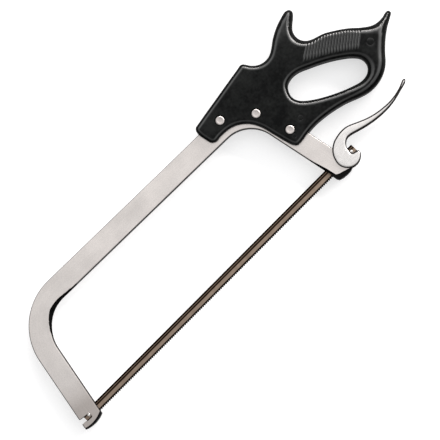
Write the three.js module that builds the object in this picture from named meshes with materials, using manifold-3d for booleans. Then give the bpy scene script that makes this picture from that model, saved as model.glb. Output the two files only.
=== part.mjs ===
// Bone saw: a flattened stainless tube bent into a bow, a riveted two-half moulded handle,
// a pinned 16-inch blade and a forked eccentric lever that tensions it.
//
// Building frame, in millimetres: the front blade pin stands at x = 0, y = 0 and the blade's
// middle plane is z = 0. +x runs along the blade to the handle, +y from the teeth to the
// spine and +z out of the side of the saw. The finished group is then moved so that its
// origin is the middle of its bounding box at floor level.

import * as THREE from 'three';
import { mergeVertices } from 'three/addons/utils/BufferGeometryUtils.js';
import Module from 'manifold-3d';

const wasm = await Module();
wasm.setup();

// ---------------------------------------------------------------- driving dimensions

const FIT = 0.3;                    // clearance between pieces that nest

const PIN_SPAN = 406.4;             // blade length, pin to pin (16 in)
const PIN = { radius: 1.6, reach: 6 };
const BLADE = { back: 5.7, tip: -5.4, half: 0.3, overFront: 6.5, overRear: 5.6 };
const TOOTH = { pitch: 2.54, depth: 1.5, lead: 0.45 };
const SLIT = { half: 1.0, top: 9 }; // saw cut that lets the blade into the tube ends

const TUBE = { half: 12.4, thick: 10, wall: 1.6, edge: 3, innerEdge: 1.6, plugEdge: 1.4 };
const AXIS = {                      // corners of the tube's centre line and its bend radii
  frontEnd: [-3.5, -20],
  frontCorner: [23.2, 125.1],
  rearCorner: [361.5, 118.5],
  rearEnd: [390.3, -25],
  frontBend: 56,
  rearBend: 49.2,
};
const FRONT_CUT = { x: -3.5, y: 24, radius: 33 };     // convex end of the front arm
const FRONT_CAP = { x: -2.2, y: 22, radius: 33.4 };   // outer face of the front end plug
const PLUG_DEPTH = { front: 14, rear: 22 };           // how far up the arms the plugs reach

const HANDLE = { half: 13, edge: 2.4 };
const RIVETS = { front: [329.2, 125.5], middle: [362.4, 102.7], rear: [376, 63.7] };
const RIVET = {
  head: 5.2, crown: 4, rim: 0.6, sink: 6.2,           // head, its flat crown and its recess
  seat: 11.5, top: 12.8,                              // heights of the seat and of the head
  sleeve: 3, bore: 1.8, sleeveEnd: -8, shank: 1.45, shankEnd: -9,
};
const GROOVE = {
  first: [448, 113.5],
  last: [499.5, 80.5],
  count: 19,
  width: 1.2,
  depth: 0.6,
  length: 19,
  leanFirst: 28,
  leanLast: 35,
};

const CAM = { x: 401, y: -0.4 };    // centre the lever turns about
const LEVER = { half: 8.3, fork: TUBE.thick / 2 + FIT, head: 14.7, hub: 7, edge: 0.8 };
const HOOK = { x: 408.1, y: 0.3, radius: 3.4 };       // round inner end of the hook slot
const HOOK_LIP = [[413, -6], [412.6, -4.6]];          // end of the hook below its mouth
const CUTTER = 9;                   // half height of the cutters that pass right through
const HANDLE_CUTTER = 20;           // the same for cutters through the handle

// ---------------------------------------------------------------- geometry helpers

function toSolid(geometry) {
  const bare = geometry.clone();
  bare.deleteAttribute('normal');
  bare.deleteAttribute('uv');
  const joined = mergeVertices(bare, 1e-4);
  return new wasm.Manifold(new wasm.Mesh({
    numProp: 3,
    vertProperties: Float32Array.from(joined.attributes.position.array),
    triVerts: Uint32Array.from(joined.index.array),
  }));
}

function toGeometry(solid) {
  const mesh = solid.getMesh();
  const geometry = new THREE.BufferGeometry();
  geometry.setAttribute('position', new THREE.BufferAttribute(mesh.vertProperties, 3));
  geometry.setIndex(new THREE.BufferAttribute(mesh.triVerts, 1));
  geometry.computeVertexNormals();
  return geometry;
}

// A flat plate with the plan outline given, rounded along both faces when `edge` is set.
function plate(outline, low, high, edge = 0, steps = 2) {
  const geometry = new THREE.ExtrudeGeometry(outline, {
    depth: high - low - 2 * edge,
    bevelEnabled: edge > 0,
    bevelThickness: edge,
    bevelSize: edge,
    bevelOffset: -edge,
    bevelSegments: steps,
    curveSegments: 8,
  });
  return toSolid(geometry.translate(0, 0, low + edge));
}

function rod([x, y], radius, low, high, sides = 24) {
  const geometry = new THREE.CylinderGeometry(radius, radius, high - low, sides);
  return toSolid(geometry.rotateX(Math.PI / 2).translate(x, y, (low + high) / 2));
}

function block([x0, x1], [y0, y1], [z0, z1]) {
  const geometry = new THREE.BoxGeometry(x1 - x0, y1 - y0, z1 - z0);
  return toSolid(geometry.translate((x0 + x1) / 2, (y0 + y1) / 2, (z0 + z1) / 2));
}

function polygon(points) {
  return new THREE.Shape(points.map(([x, y]) => new THREE.Vector2(x, y)));
}

// Points of a smooth curve through the knots, `steps` to each gap.
function smooth(knots, steps, closed) {
  const curve = new THREE.CatmullRomCurve3(
    knots.map(([x, y]) => new THREE.Vector3(x, y, 0)), closed, 'centripetal');
  const gaps = closed ? knots.length : knots.length - 1;
  const points = curve.getPoints(gaps * steps).map((p) => [p.x, p.y]);
  return closed ? points.slice(0, -1) : points;
}

function arc(x, y, radius, from, to, steps) {
  return Array.from({ length: steps + 1 }, (_, i) => {
    const angle = THREE.MathUtils.degToRad(from + ((to - from) * i) / steps);
    return [x + radius * Math.cos(angle), y + radius * Math.sin(angle)];
  });
}

// ---------------------------------------------------------------- bow frame

// One bend of the centre line: its centre and the angles where the arc starts and stops.
function bend(before, corner, after, radius) {
  const [a, b, c] = [before, corner, after].map(([x, y]) => new THREE.Vector2(x, y));
  const arriving = b.clone().sub(a).normalize();
  const leaving = c.clone().sub(b).normalize();
  const turn = Math.acos(arriving.dot(leaving));
  const inward = new THREE.Vector2(arriving.y, -arriving.x);
  const centre = b.addScaledVector(arriving, -radius * Math.tan(turn / 2))
    .addScaledVector(inward, radius);
  const from = Math.atan2(-inward.y, -inward.x);
  return { centre, radius, from: from * 180 / Math.PI, to: (from - turn) * 180 / Math.PI };
}

const FRONT_BEND = bend(AXIS.frontEnd, AXIS.frontCorner, AXIS.rearCorner, AXIS.frontBend);
const REAR_BEND = bend(AXIS.frontCorner, AXIS.rearCorner, AXIS.rearEnd, AXIS.rearBend);

// One long edge of the bow, `side` millimetres outside (+) or inside (-) the centre line.
function bowEdge(side) {
  const beside = (end, { from }) => {
    const angle = THREE.MathUtils.degToRad(from);
    return [end[0] + side * Math.cos(angle), end[1] + side * Math.sin(angle)];
  };
  const rearStart = { ...REAR_BEND, from: REAR_BEND.to };
  return [
    beside(AXIS.frontEnd, FRONT_BEND),
    ...[FRONT_BEND, REAR_BEND].flatMap(({ centre, radius, from, to }) =>
      arc(centre.x, centre.y, radius + side, from, to, 12)),
    beside(AXIS.rearEnd, rearStart),
  ];
}

// The whole bow as a bar of the given half width and thickness, longer than needed.
function bow(half, thick, edge, steps) {
  const outline = polygon([...bowEdge(half), ...bowEdge(-half).reverse()]);
  return plate(outline, -thick / 2, thick / 2, edge, steps);
}

// Everything below a convex arc: trims the end of the front arm.
function belowArc({ x, y, radius }, drop = 0) {
  const curve = arc(x, y - drop, radius, -125, -55, 14);
  return plate(polygon([[-40, -60], [40, -60], ...curve.reverse()]), -CUTTER, CUTTER);
}

// The rear arm's rounded end, from its inner edge to under the lever's head.
function rearEndCurve(drop = 0) {
  const curve = new THREE.QuadraticBezierCurve(
    new THREE.Vector2(372.6, 1.5 - drop),
    new THREE.Vector2(374.6 - drop, -7.4 - drop),
    new THREE.Vector2(384, -9 - drop));
  return curve.getPoints(6).map((p) => [p.x, p.y]);
}

// The hooked notch that holds the front pin: a slot from the outer edge with a lip below.
function frontNotch() {
  const seat = arc(0, 0, PIN.radius + FIT, 90, 0, 4);
  const heel = arc(0.1, -2.6, 1.8, 0, -90, 4);
  return plate(polygon([
    [-20, 4.9], [-11.3, 3.3], [-2, 1.95], ...seat, ...heel,
    [-6.2, -4.1], [-7.3, -2.7], [-20, -2.3],
  ]), -CUTTER, CUTTER);
}

function camSeat() {
  return rod([CAM.x, CAM.y], LEVER.hub + FIT, -CUTTER, CUTTER, 40);
}

function frameTube() {
  const cavity = bow(TUBE.half - TUBE.wall, TUBE.thick - 2 * TUBE.wall, TUBE.innerEdge, 2);
  let tube = bow(TUBE.half, TUBE.thick, TUBE.edge, 2)
    .subtract(cavity)
    .subtract(belowArc(FRONT_CUT))
    .subtract(frontNotch())
    .subtract(block([-20, 20], [-20, SLIT.top], [-SLIT.half, SLIT.half]))
    .subtract(plate(polygon([
      [350, 1.5], ...rearEndCurve(), [408, -17], [408, -60], [350, -60],
    ]), -CUTTER, CUTTER))
    .subtract(block([360, 405], [-20, SLIT.top], [-SLIT.half, SLIT.half]))
    .subtract(camSeat());
  for (const spot of Object.values(RIVETS)) {
    tube = tube.subtract(rod(spot, RIVET.sleeve + FIT, -CUTTER, CUTTER));
  }
  return tube;
}

// ---------------------------------------------------------------- end plugs

function plugBar() {
  const slack = TUBE.wall + FIT;
  return bow(TUBE.half - slack, TUBE.thick - 2 * slack, TUBE.plugEdge, 2);
}

function frontEndPlug() {
  const inside = plugBar().intersect(block([-40, 40], [-40, PLUG_DEPTH.front], [-CUTTER, CUTTER]));
  const cap = bow(TUBE.half, TUBE.thick, TUBE.edge, 2).intersect(belowArc(FRONT_CUT, 0.1));
  return inside.add(cap)
    .subtract(belowArc(FRONT_CAP))
    .subtract(frontNotch())
    .subtract(block([-20, 20], [-6.6, SLIT.top - 1], [-SLIT.half, SLIT.half]));
}

// The nose: the part of the rear plug that stands out below the tube's rounded end.
const NOSE_EDGE = [[373.3, -6], [374, -10.4], [375.6, -12.9], [380.5, -14.4], [386.5, -15],
  [391.5, -14.7], [395.2, -13.4]];

function rearEndPlug() {
  const filled = polygon([[370, 1.4], ...NOSE_EDGE, [399, -5], [399, 22], [365, 22]]);
  const inside = plugBar().intersect(plate(filled, -4, 4));
  const nose = plate(polygon([
    ...NOSE_EDGE, [394, -12.6], ...rearEndCurve(0.2).reverse(),
  ]), -TUBE.thick / 2, TUBE.thick / 2);
  return inside.add(nose)
    .subtract(camSeat())
    .subtract(block([360, 405], [-11.9, SLIT.top - 1], [-SLIT.half, SLIT.half]));
}

// ---------------------------------------------------------------- blade and its pins

function bladePlate() {
  const start = -BLADE.overFront;
  const end = PIN_SPAN + BLADE.overRear;
  const outline = [[start, BLADE.back], [start, BLADE.tip + TOOTH.depth]];
  for (let x = start; x + TOOTH.pitch < end; x += TOOTH.pitch) {
    outline.push([x + TOOTH.lead, BLADE.tip], [x + TOOTH.pitch, BLADE.tip + TOOTH.depth]);
  }
  outline.push([end, BLADE.tip + TOOTH.depth], [end, BLADE.back]);
  return plate(polygon(outline), -BLADE.half, BLADE.half)
    .subtract(rod([0, 0], PIN.radius + FIT, -CUTTER, CUTTER, 20))
    .subtract(rod([PIN_SPAN, 0], PIN.radius + FIT, -CUTTER, CUTTER, 20));
}

function bladePin(x) {
  return rod([x, 0], PIN.radius, -PIN.reach, PIN.reach, 20);
}

// ---------------------------------------------------------------- moulded handle

const HANDLE_EDGE = [
  // front end, over the spine of the bow
  [310, 112.7], [305.5, 115.7], [303.6, 121.5], [302, 131], [302.4, 136.2], [305, 139.4],
  [309.6, 140.4], [347.2, 146.7], [384.2, 152.8], [388.4, 153.4], [391.2, 152],
  // scoop behind the guard, then the upper horn
  [396.1, 144.9], [402.3, 139.6], [410, 137.3], [417.8, 138.2], [424.8, 141.9], [433, 148],
  [441.3, 152.8], [450.4, 156.8], [459.2, 159.6], [465.3, 160.8], [469.7, 159.1],
  [470.9, 155.3], [468, 151.3],
  // web of the hand, back of the grip and the tail
  [461.6, 146], [456, 140.1], [453.8, 133], [454.9, 126.5], [458.6, 121.3], [464.2, 117.9],
  [476.7, 113.3], [489.7, 105.6], [500.7, 97.6], [510.7, 88.8], [519, 82.8], [527, 80.1],
  [536, 80.3], [541.6, 81.7], [545.4, 81.1], [546.2, 77.4], [541.4, 74],
  // pommel and lower edge
  [532, 68.8], [521.6, 61.2], [510.5, 50.8], [501.8, 41.5], [491.8, 35.2], [480, 31.9],
  [468, 31.9], [457.2, 34.9], [440.2, 41.7], [420, 46.5], [400, 48.5], [386, 47.6],
  [375, 46], [370, 46.5], [366.7, 50],
  // arch that follows the inner edge of the bow
  [362.9, 61.8], [359.2, 76.8], [356.2, 88.3], [350, 99.8], [340.7, 108.2], [330.1, 112.4],
  [318, 113.3],
];

const FINGER_HOLE = [
  [403.2, 89.3], [405, 94.8], [409.3, 101], [417, 103.9], [427, 103.3], [440, 97.9],
  [454.9, 90.6], [470, 81.3], [481, 72.4], [486.7, 64.1], [486.4, 55.3], [480.4, 48.5],
  [471, 46.2], [458, 49.2], [440, 56.6], [419.8, 67.9], [407.8, 77.4], [403.9, 83.5],
];

// Grooves across the grip, spaced evenly along its back. Each leans a little more than the
// one before, as they follow the bend of the grip.
function gripGrooves(low, high) {
  const first = new THREE.Vector2(...GROOVE.first);
  const last = new THREE.Vector2(...GROOVE.last);
  return Array.from({ length: GROOVE.count }, (_, i) => {
    const share = i / (GROOVE.count - 1);
    const centre = first.clone().lerp(last, share);
    const degrees = THREE.MathUtils.lerp(GROOVE.leanFirst, GROOVE.leanLast, share);
    const lean = THREE.MathUtils.degToRad(degrees);
    const cutter = new THREE.BoxGeometry(GROOVE.length, GROOVE.width, high - low);
    return toSolid(cutter.rotateZ(lean).translate(centre.x, centre.y, (low + high) / 2));
  });
}

// side = 1 for the half above the blade's plane, -1 for the half below it.
function handleHalf(side) {
  const outline = polygon(smooth(HANDLE_EDGE, 3, true));
  outline.holes.push(polygon(smooth(FINGER_HOLE, 3, true).reverse()));
  const span = (from, to) => (side > 0 ? [from, to] : [-to, -from]);
  let half = plate(outline, -HANDLE.half, HANDLE.half, HANDLE.edge, 2)
    .intersect(block([250, 600], [0, 200], span(FIT / 2, HANDLE_CUTTER)))
    .subtract(bow(TUBE.half + FIT, TUBE.thick + 2 * FIT, TUBE.edge, 2));
  for (const spot of Object.values(RIVETS)) {
    half = half
      .subtract(rod(spot, RIVET.sleeve + FIT, -HANDLE_CUTTER, HANDLE_CUTTER))
      .subtract(rod(spot, RIVET.sink, ...span(RIVET.seat - 0.1, HANDLE_CUTTER)));
  }
  const [low, high] = span(HANDLE.half - GROOVE.depth, HANDLE.half + 1);
  for (const groove of gripGrooves(low, high)) {
    half = half.subtract(groove);
  }
  return half;
}

// ---------------------------------------------------------------- handle rivets

function lathed(profile, [x, y], side) {
  const points = profile.map(([r, z]) => new THREE.Vector2(r, z));
  const geometry = new THREE.LatheGeometry(points, 18).rotateX(Math.PI / 2);
  if (side < 0) geometry.rotateX(Math.PI);
  return toSolid(geometry.translate(x, y, 0));
}

// Each rivet is a headed sleeve pushed in from below and a headed shank pressed into it.
function rivetHead({ head, crown, rim, seat, top }) {
  return [[0, top], [crown, top - 0.1], [head, top - rim], [head, seat]];
}

function rivetSleeve(spot) {
  const { seat, sleeve, bore, sleeveEnd } = RIVET;
  const inner = seat - 1;
  return lathed([...rivetHead(RIVET), [sleeve, seat], [sleeve, sleeveEnd], [bore, sleeveEnd],
    [bore, inner], [0, inner]].reverse(), spot, -1);
}

function rivetShank(spot) {
  const { seat, shank, shankEnd } = RIVET;
  return lathed([...rivetHead(RIVET), [shank, seat], [shank, shankEnd], [0, shankEnd]].reverse(),
    spot, 1);
}

// ---------------------------------------------------------------- tension lever

const LEVER_TAIL = [
  // under side, from the hook's mouth out to the tip
  [406.2, 6.5], [408.5, 9.8], [411.5, 12.4], [414.5, 13.6], [418.5, 13.5], [424, 12.1],
  [433.5, 9.3], [443.4, 7], [453.2, 5.5], [463.1, 4.9], [472.9, 5.2], [482.8, 6.7],
  [492.6, 9.3], [503, 12.4],
  // tip, and back along the upper side to the neck
  [504.2, 14], [502.4, 15.4], [492.6, 11.9], [482.8, 9.6], [472.9, 8.8], [463.1, 9.4],
  [453.2, 11], [443.4, 13.9], [433.5, 18.1], [425, 22], [419, 23.5], [413, 23.6],
  [406, 22.5], [400, 20.6], [395, 17.4], [391.2, 13.8], [388.4, 9],
];

function tensionLever() {
  const head = arc(CAM.x, CAM.y + 0.7, LEVER.head, 160, 322, 18);
  const slot = arc(HOOK.x, HOOK.y, HOOK.radius, 270, 150, 8);
  const outline = polygon([...smooth(LEVER_TAIL, 2, false), ...head, ...HOOK_LIP, ...slot]);
  const body = plate(outline, -LEVER.half, LEVER.half, LEVER.edge, 1);

  // The fork clears the arm in every position between closed and a quarter turn open.
  const lean = Math.atan2(AXIS.rearEnd[0] - AXIS.rearCorner[0],
    AXIS.rearCorner[1] - AXIS.rearEnd[1]);
  const beside = new THREE.Vector2(Math.cos(lean), Math.sin(lean));
  const below = new THREE.Vector2(-Math.sin(lean), Math.cos(lean));
  const toArm = (CAM.x - AXIS.rearEnd[0]) * beside.x + (CAM.y - AXIS.rearEnd[1]) * beside.y
    - TUBE.half - FIT;
  const crotch = new THREE.Vector2(CAM.x, CAM.y)
    .addScaledVector(beside, -toArm)
    .addScaledVector(below, -toArm);
  const upper = crotch.clone().addScaledVector(below, 60);
  const lower = crotch.clone().addScaledVector(beside, 20);
  const [farLeft, farDown] = [340, -40];
  const gap = plate(polygon([
    [upper.x, upper.y], [crotch.x, crotch.y], [lower.x, lower.y],
    [lower.x, farDown], [farLeft, farDown], [farLeft, upper.y],
  ]), -LEVER.fork, LEVER.fork);

  const mouth = plate(polygon([...slot, LEVER_TAIL[0], [425, 8], [425, -5], HOOK_LIP[1]]),
    -CUTTER, CUTTER);
  const hub = rod([CAM.x, CAM.y], LEVER.hub, -LEVER.fork - 1, LEVER.fork + 1, 40);
  return body.subtract(gap)
    .add(hub.subtract(mouth))
    .subtract(block([380, 420], [-20, 9.5], [-SLIT.half, SLIT.half]));
}

// ---------------------------------------------------------------- assembly

const FINISH = {
  tube: { color: 0xd4cecb, roughness: 0.34, metalness: 1 },
  lever: { color: 0xe4e0de, roughness: 0.28, metalness: 1 },
  rivet: { color: 0xcdc8c5, roughness: 0.3, metalness: 1 },
  blade: { color: 0x857667, roughness: 0.42, metalness: 1 },
  pin: { color: 0xe0dcd8, roughness: 0.25, metalness: 1 },
  grip: { color: 0x1c1e1e, roughness: 0.46, metalness: 0 },
  plug: { color: 0x0d0d0e, roughness: 0.55, metalness: 0 },
};

const group = new THREE.Group();
group.name = 'bone_saw';

function put(name, solid, finish) {
  const mesh = new THREE.Mesh(toGeometry(solid), new THREE.MeshStandardMaterial(FINISH[finish]));
  mesh.name = name;
  group.add(mesh);
}

put('frame_tube', frameTube(), 'tube');
put('front_end_plug', frontEndPlug(), 'plug');
put('rear_end_plug', rearEndPlug(), 'plug');
put('handle_upper_half', handleHalf(1), 'grip');
put('handle_lower_half', handleHalf(-1), 'grip');
for (const [place, spot] of Object.entries(RIVETS)) {
  put(`rivet_${place}_sleeve`, rivetSleeve(spot), 'rivet');
  put(`rivet_${place}_shank`, rivetShank(spot), 'rivet');
}
put('tension_lever', tensionLever(), 'lever');
put('blade', bladePlate(), 'blade');
put('front_blade_pin', bladePin(0), 'pin');
put('rear_blade_pin', bladePin(PIN_SPAN), 'pin');

const bounds = new THREE.Box3().setFromObject(group);
const middle = bounds.getCenter(new THREE.Vector3());
for (const mesh of group.children) {
  mesh.geometry.translate(-middle.x, -middle.y, -bounds.min.z);
}

export default group;
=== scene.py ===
"""Bone saw lying on its side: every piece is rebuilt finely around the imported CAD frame, except the
two end plugs, which keep the frame's own shape.

Saw coordinates, used by every builder below, are millimetres from the front blade pin: +x along
the blade to the handle, +y from the teeth to the spine, +z up out of the side of the saw.
"""

import math

import bmesh
import bpy
import numpy as np
from mathutils import Matrix, Vector
from mathutils.geometry import delaunay_2d_cdt


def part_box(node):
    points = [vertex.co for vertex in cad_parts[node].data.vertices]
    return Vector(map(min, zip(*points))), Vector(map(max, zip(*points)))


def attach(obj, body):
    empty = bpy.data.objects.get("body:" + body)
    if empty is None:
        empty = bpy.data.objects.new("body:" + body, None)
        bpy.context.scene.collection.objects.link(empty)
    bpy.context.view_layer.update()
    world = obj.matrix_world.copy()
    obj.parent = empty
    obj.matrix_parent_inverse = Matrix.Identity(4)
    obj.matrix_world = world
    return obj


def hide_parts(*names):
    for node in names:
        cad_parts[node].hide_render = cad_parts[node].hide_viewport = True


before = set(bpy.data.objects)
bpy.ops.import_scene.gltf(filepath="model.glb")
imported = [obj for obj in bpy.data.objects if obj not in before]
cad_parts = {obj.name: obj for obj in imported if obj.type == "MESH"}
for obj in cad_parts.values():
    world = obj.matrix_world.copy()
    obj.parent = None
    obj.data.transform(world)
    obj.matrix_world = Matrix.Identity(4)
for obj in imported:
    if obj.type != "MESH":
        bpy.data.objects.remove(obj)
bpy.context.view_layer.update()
scene = bpy.context.scene

MM = 0.001
FIT = 0.3  # clearance between pieces that nest


def box_centre(node):
    low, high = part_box(node)
    return (low + high) / 2


ORIGIN = box_centre("front_blade_pin")
PIN_SPAN = (box_centre("rear_blade_pin") - ORIGIN).x / MM


def to_row(point):
    """A point in saw coordinates as a place in the row's own frame, in metres."""
    return ORIGIN + Vector(point) * MM


def half_size(node):
    """Half the size of a CAD node's box along x, y and z, in millimetres."""
    low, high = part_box(node)
    return (high - low) / 2 / MM


# ---- plan outlines

def plan_loops(node, level):
    """The closed outlines of a CAD node at a height where its wall meets its rounded edge."""
    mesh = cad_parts[node].data
    corners = [(vertex.co - ORIGIN) / MM for vertex in mesh.vertices]
    links = {}
    for polygon in mesh.polygons:
        ring = [corners[i] for i in polygon.vertices]
        for a, b in zip(ring, ring[1:] + ring[:1]):
            if abs(a.z - level) < 0.02 and abs(b.z - level) < 0.02 and (a - b).length > 0.02:
                start, end = (round(a.x, 2), round(a.y, 2)), (round(b.x, 2), round(b.y, 2))
                links.setdefault(start, set()).add(end)
                links.setdefault(end, set()).add(start)
    loops = []
    while links:
        here = min(links)
        loop = [here]
        while here in links:
            onward = sorted(links.pop(here))
            here = next((point for point in onward if point in links), None)
            if here is not None:
                loop.append(here)
        loops.append(np.array(loop))
    return sorted(loops, key=len, reverse=True)


def signed_area(loop):
    """The loop's area, positive when it runs anticlockwise."""
    x, y = loop.T
    return 0.5 * float(np.sum(x * np.roll(y, -1) - np.roll(x, -1) * y))


def resampled(loop, spacing, sharp=None):
    """The loop with about even spacing, rounded through its points except at sharp corners."""
    if signed_area(loop) < 0:
        loop = loop[::-1]
    count = len(loop)
    made = []
    for i in range(count):
        before, start, end, after = (loop[(i + k) % count] for k in (-1, 0, 1, 2))
        steps = max(1, round(float(np.linalg.norm(end - start)) / spacing))
        turn_start = turning(before, start, end)
        turn_end = turning(start, end, after)
        if sharp and turn_start > sharp:
            before = start
        if sharp and turn_end > sharp:
            after = end
        for k in range(steps):
            made.append(curve_point(before, start, end, after, k / steps))
    return np.array(made)


def turning(a, b, c):
    """How many degrees the way from a to c turns at b."""
    one, two = b - a, c - b
    cosine = float(one @ two) / (float(np.linalg.norm(one) * np.linalg.norm(two)) + 1e-9)
    return math.degrees(math.acos(max(-1.0, min(1.0, cosine))))


def curve_point(a, b, c, d, t):
    """A point between b and c on a smooth curve through a, b, c and d."""
    chord = float(np.linalg.norm(c - b))
    into = tangent(a, b, c) * chord
    out = tangent(b, c, d) * chord
    t2, t3 = t * t, t * t * t
    return ((2 * t3 - 3 * t2 + 1) * b + (t3 - 2 * t2 + t) * into
            + (3 * t2 - 2 * t3) * c + (t3 - t2) * out)


def tangent(a, b, c):
    """The direction of a smooth curve through a, b and c at b."""
    one, two = b - a, c - b
    first, second = float(np.linalg.norm(one)), float(np.linalg.norm(two))
    if first < 1e-6 or second < 1e-6:
        straight = one + two
        return straight / (float(np.linalg.norm(straight)) + 1e-9)
    direction = one / first * second + two / second * first
    return direction / (float(np.linalg.norm(direction)) + 1e-9)


def distance_to(points, loops):
    """How far each plan point is from the nearest outline, worked out in batches."""
    batch = 2000
    best = np.full(len(points), np.inf)
    for loop in loops:
        start, end = loop, np.roll(loop, -1, axis=0)
        edge = end - start
        length2 = np.maximum((edge ** 2).sum(1), 1e-12)
        for low in range(0, len(points), batch):
            some = points[low:low + batch, None, :]
            share = (((some - start) * edge).sum(2) / length2).clip(0, 1)
            gap = some - (start + share[..., None] * edge)
            nearest = np.sqrt((gap ** 2).sum(2)).min(1)
            best[low:low + batch] = np.minimum(best[low:low + batch], nearest)
    return best


def inside(points, loops):
    """True for the plan points that lie within the outer outline and outside its holes."""
    crossings = np.zeros(len(points), int)
    x, y = points.T
    for loop in loops:
        for (x0, y0), (x1, y1) in zip(loop, np.roll(loop, -1, axis=0)):
            if y0 != y1:
                spans = (y0 <= y) != (y1 <= y)
                crossings += spans & (x < x0 + (y - y0) / (y1 - y0) * (x1 - x0))
    return crossings % 2 == 1


def offset(loop, distance):
    """The loop's points moved to the left of their direction of travel."""
    along = np.roll(loop, -1, axis=0) - np.roll(loop, 1, axis=0)
    along /= np.linalg.norm(along, axis=1)[:, None] + 1e-9
    return loop + np.stack([-along[:, 1], along[:, 0]], 1) * distance


def arc(x, y, radius, start, stop, steps):
    """Points along a round arc between two angles in degrees."""
    angles = np.radians(np.linspace(start, stop, steps + 1))
    return np.stack([x + radius * np.cos(angles), y + radius * np.sin(angles)], 1)


# ---- meshes

def make_object(name, points, faces):
    """A mesh object from points in saw coordinates."""
    mesh = bpy.data.meshes.new(name)
    mesh.from_pydata([to_row(point) for point in points], [], faces)
    made = bpy.data.objects.new(name, mesh)
    scene.collection.objects.link(made)
    tidy_mesh(made)
    return made


def tidy_mesh(piece):
    """Joins doubled points and turns every face outwards."""
    work = bmesh.new()
    work.from_mesh(piece.data)
    bmesh.ops.remove_doubles(work, verts=work.verts, dist=1e-6)
    bmesh.ops.dissolve_degenerate(work, edges=work.edges, dist=1e-7)
    bmesh.ops.recalc_face_normals(work, faces=work.faces)
    work.to_mesh(piece.data)
    work.free()


def filled(loops, extra):
    """Triangles that fill the outlines, using their points first and then the extra points."""
    points = np.concatenate([*loops, extra])
    edges, start = [], 0
    for loop in loops:
        count = len(loop)
        edges += [(start + i, start + (i + 1) % count) for i in range(count)]
        start += count
    made = delaunay_2d_cdt([Vector(p) for p in points], edges, [], 0, 1e-6, False)
    corners = np.array([(p.x, p.y) for p in made[0]])
    triangles = np.array(made[2])
    middles = corners[triangles].mean(1)
    return corners, triangles[inside(middles, loops)]


def inner_points(loops, rings, grid, margin):
    """Points inside the outlines: rings that follow the edge, then an even grid."""
    own_ring = 0.93  # a ring's points nearer than this share are dropped
    kept = []
    for distance in rings:
        for number, loop in enumerate(loops):
            ring = offset(loop, distance if number == 0 else -distance)
            kept.append(ring[distance_to(ring, loops) > own_ring * distance])
    low, high = loops[0].min(0), loops[0].max(0)
    x, y = np.meshgrid(np.arange(low[0], high[0], grid), np.arange(low[1], high[1], grid))
    x[::2] += grid / 2
    cells = np.stack([x.ravel(), y.ravel()], 1)
    cells = cells[inside(cells, loops)]
    kept.append(cells[distance_to(cells, loops) > margin])
    return np.concatenate(kept)


def thinned(points, spacing):
    """Drops every point that is closer than the spacing to one kept before it."""
    taken, kept = set(), []
    for point in points:
        cell = (int(point[0] // spacing), int(point[1] // spacing))
        near = [(cell[0] + i, cell[1] + j) for i in (-1, 0, 1) for j in (-1, 0, 1)]
        if not any(other in taken for other in near):
            taken.add(cell)
            kept.append(point)
    return np.array(kept)


def rounded_height(distance, top, radius):
    """Height of a surface that is flat inside and rolls over to a vertical wall at its edge."""
    short = np.clip(radius - distance, 0, radius)
    return top - radius + np.sqrt(np.maximum(radius ** 2 - short ** 2, 0))


def slab(name, loops, extra, upper, lower):
    """A closed body between two height fields over the same plan outlines."""
    corners, triangles = filled(loops, extra)
    count = len(corners)
    top, bottom = upper(corners), lower(corners)
    points = [(*p, z) for p, z in zip(corners, top)] + [(*p, z) for p, z in zip(corners, bottom)]
    faces = [tuple(t) for t in triangles] + [tuple(t[::-1] + count) for t in triangles]
    uses = {}
    for a, b, c in triangles:
        for edge in ((a, b), (b, c), (c, a)):
            uses.setdefault(tuple(sorted(edge)), []).append(edge)
    rim = [pair[0] for pair in uses.values() if len(pair) == 1]
    faces += [(b, a, a + count, b + count) for a, b in rim]
    return make_object(name, points, [[int(i) for i in face] for face in faces])


def prism(outline, low, high):
    """A plain closed prism over an outline, used to cut."""
    count = len(outline)
    points = [(*p, low) for p in outline] + [(*p, high) for p in outline]
    sides = [(i, (i + 1) % count, (i + 1) % count + count, i + count) for i in range(count)]
    faces = [tuple(range(count))[::-1], tuple(range(count, 2 * count)), *sides]
    return make_object("cutter", points, faces)


def cylinder(centre, radius, low, high, sides=48):
    """An upright cylinder, used to cut or to join."""
    return prism(arc(*centre, radius, 0, 360 * (sides - 1) / sides, sides - 1), low, high)


def block(x, y, z):
    """A box between two values along each axis, used to cut."""
    return prism([(x[0], y[0]), (x[1], y[0]), (x[1], y[1]), (x[0], y[1])], *z)


def combine(piece, operation, *others):
    """Cuts, joins or crosses a piece with other closed bodies, which are then removed."""
    for other in others:
        step = piece.modifiers.new(operation, "BOOLEAN")
        step.operation = operation
        step.solver = "MANIFOLD"
        step.object = other
        apply_modifiers(piece)
        bpy.data.objects.remove(other)


def apply_modifiers(piece):
    """Gives the piece the mesh that its modifiers make of it."""
    graph = bpy.context.evaluated_depsgraph_get()
    done = bpy.data.meshes.new_from_object(piece.evaluated_get(graph))
    piece.modifiers.clear()
    old, piece.data = piece.data, done
    bpy.data.meshes.remove(old)


def lathed(name, profile, centre, side=1, steps=48):
    """A turned piece: a profile of (radius, height) swept about a vertical axis."""
    points, faces = [], []
    for i in range(steps):
        angle = 2 * math.pi * i / steps
        for radius, height in profile:
            points.append((centre[0] + radius * math.cos(angle),
                           centre[1] + radius * math.sin(angle), side * height))
    count = len(profile)
    for i in range(steps):
        j = (i + 1) % steps
        for k in range(count - 1):
            faces.append((i * count + k, i * count + k + 1, j * count + k + 1, j * count + k))
    return make_object(name, points, faces)


def saw_points(piece):
    """The piece's points in saw coordinates."""
    return np.array([(vertex.co - ORIGIN) / MM for vertex in piece.data.vertices])


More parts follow.
